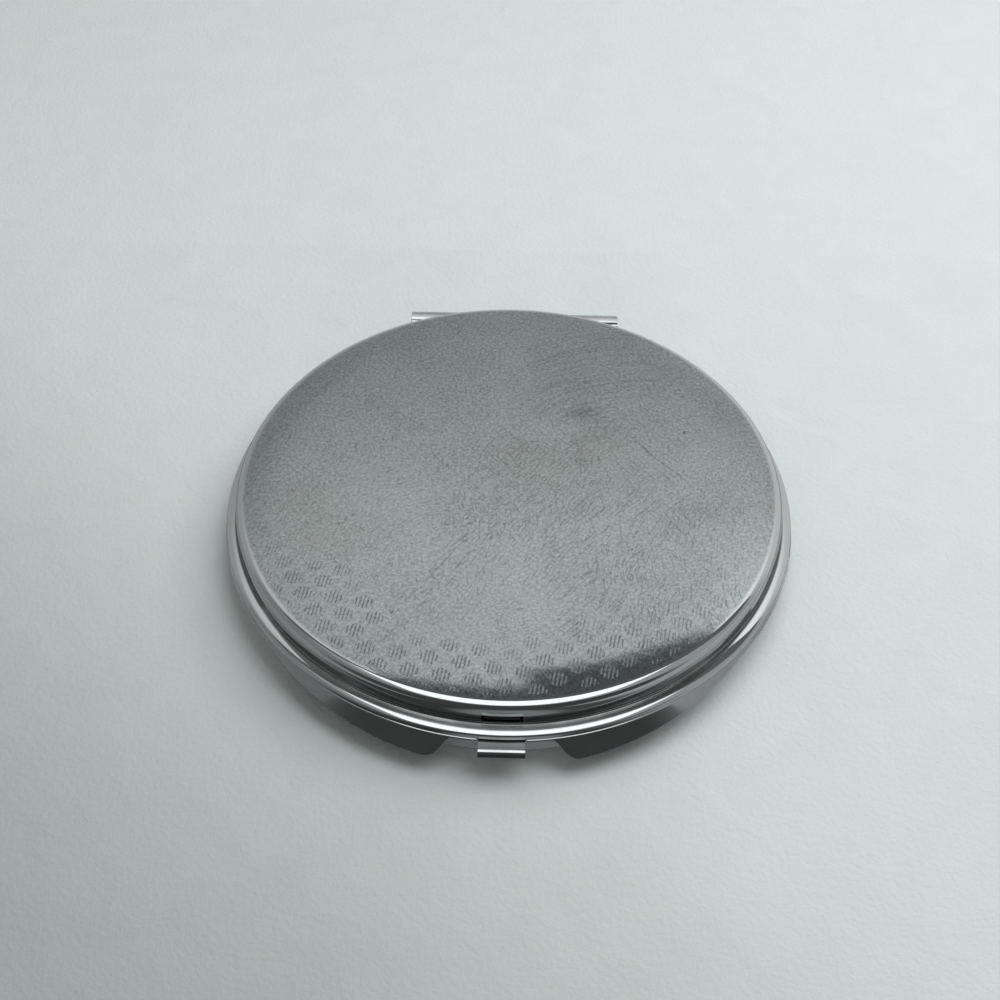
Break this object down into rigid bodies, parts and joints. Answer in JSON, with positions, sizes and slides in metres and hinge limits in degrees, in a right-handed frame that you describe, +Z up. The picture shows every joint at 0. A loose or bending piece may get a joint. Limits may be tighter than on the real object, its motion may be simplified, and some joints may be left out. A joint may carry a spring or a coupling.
{
  "type": "compact mirror",
  "caption": "Round pocket mirror case of chromed sheet, with a hinged lid, a plain and a magnifying mirror inside, and a sliding thumb latch between two flared ears.",
  "frame": {"origin": "centre of the flat bottom face, on the axis of the round case", "axes": "+Z up through the closed lid, +Y towards the hinge, -Y towards the thumb latch, +X along the hinge pin"},
  "size_m": [0.0705, 0.0728, 0.0098],
  "materials": {
    "lid_chrome": "scuffed chrome plate with a lattice of fine pressed hatch marks on the crown",
    "base_chrome": "chrome plate, lightly rubbed",
    "ring_chrome": "bright chrome plate",
    "hinge_chrome": "bright chrome plate",
    "latch_chrome": "bright chrome plate",
    "rivet_steel": "plain drawn steel",
    "spring_steel": "cold-rolled spring steel",
    "mirror_glass": "back-silvered glass with a ground edge",
    "foam": "soft closed-cell foam"
  },
  "bodies": {
    "base": {"base_shell": "base_chrome", "base_frame": "ring_chrome", "base_mirror": "mirror_glass", "base_backing_pad": "foam", "base_hinge_leaf": "hinge_chrome", "base_hinge_rivets": "rivet_steel", "hinge_pin": "rivet_steel", "latch_guide": "spring_steel", "latch_guide_rivets": "rivet_steel", "latch_spring": "spring_steel"},
    "lid": {"lid_shell": "lid_chrome", "lid_frame": "ring_chrome", "lid_mirror": "mirror_glass", "lid_backing_pad": "foam", "lid_hinge_leaf": "hinge_chrome", "lid_hinge_rivets": "rivet_steel"},
    "latch": {"latch_slider": "latch_chrome"}
  },
  "joints": [
    {"name": "lid_hinge", "type": "hinge", "parent": "base", "child": "lid", "pos_m": [0, 0.0347, 0.0046], "axis": [-1, 0, 0], "range_deg": [0, 175]},
    {"name": "latch_slide", "type": "slide", "parent": "base", "child": "latch", "axis": [0, 1, 0], "range_m": [0, 0.0008], "stiffness_N_per_m": 1500, "springref_m": -0.0004, "deforming": ["latch_spring"]}
  ]
}
